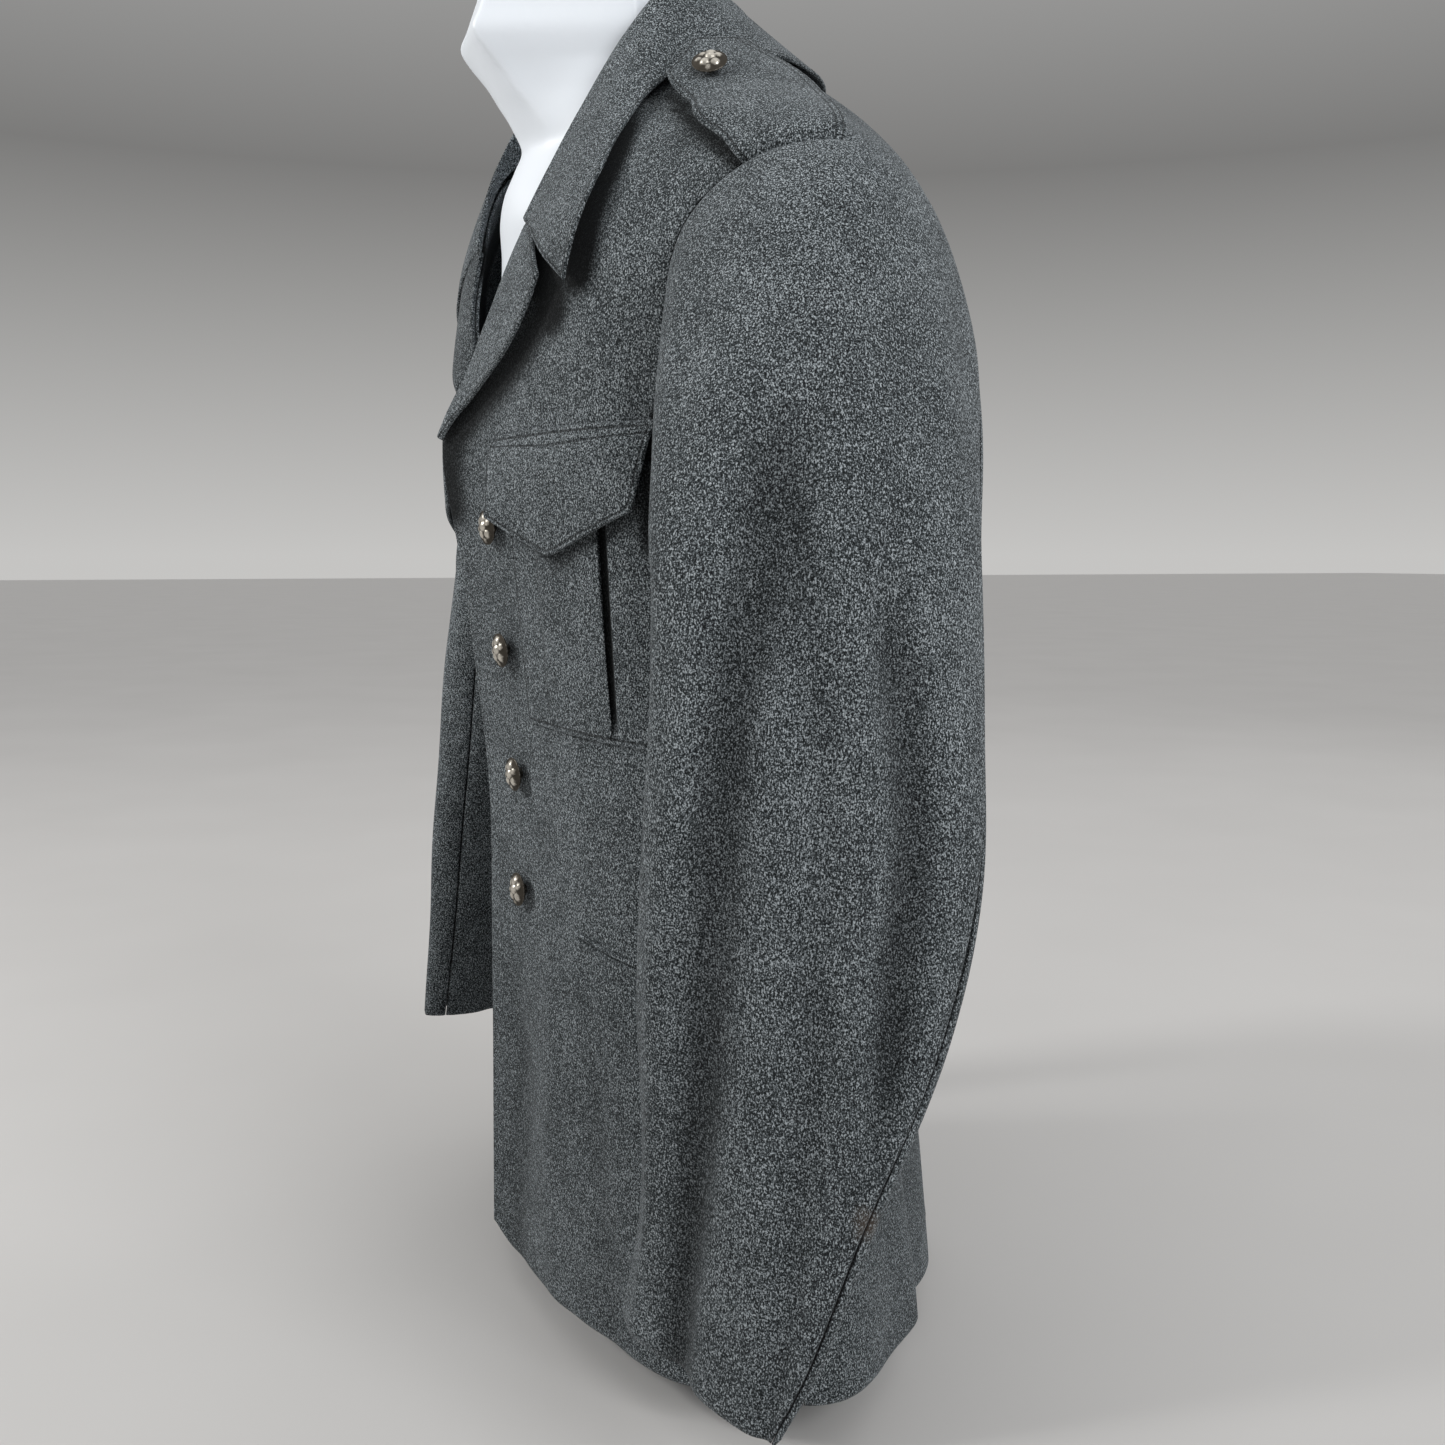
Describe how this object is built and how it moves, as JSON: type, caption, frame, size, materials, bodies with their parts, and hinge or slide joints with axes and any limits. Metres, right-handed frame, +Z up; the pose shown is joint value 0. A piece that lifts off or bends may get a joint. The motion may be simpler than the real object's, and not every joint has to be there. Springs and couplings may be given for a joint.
{
  "type": "military uniform jacket on a torso form",
  "caption": "Single-breasted military uniform jacket of heathered grey-green wool with notched collar, shoulder straps, flapped chest pockets and metal buttons, on a limbless torso form.",
  "frame": {"origin": "middle of the form's flat foot, on the plane that it stands on", "axes": "+Z up, -Y the way the wearer faces, +X the wearer's left"},
  "size_m": [0.6315, 0.3243, 0.832],
  "materials": {
    "wool": "heathered, softly milled",
    "button_metal": "aged silver",
    "form_plastic": "smooth white"
  },
  "bodies": {
    "root": {"front_left": "wool", "front_right": "wool", "side_body_left": "wool", "side_body_right": "wool", "back_left": "wool", "back_right": "wool", "sleeve_top_left": "wool", "sleeve_top_right": "wool", "sleeve_under_left": "wool", "sleeve_under_right": "wool", "lapel_left": "wool", "lapel_right": "wool", "collar": "wool", "shoulder_strap_left": "wool", "shoulder_strap_right": "wool", "chest_pocket_left": "wool", "chest_pocket_right": "wool", "chest_flap_left": "wool", "chest_flap_right": "wool", "hip_welt_left": "wool", "hip_welt_right": "wool", "front_button_1": "button_metal", "front_button_2": "button_metal", "front_button_3": "button_metal", "front_button_4": "button_metal", "strap_button_left": "button_metal", "strap_button_right": "button_metal", "torso_form": "form_plastic"}
  },
  "joints": []
}
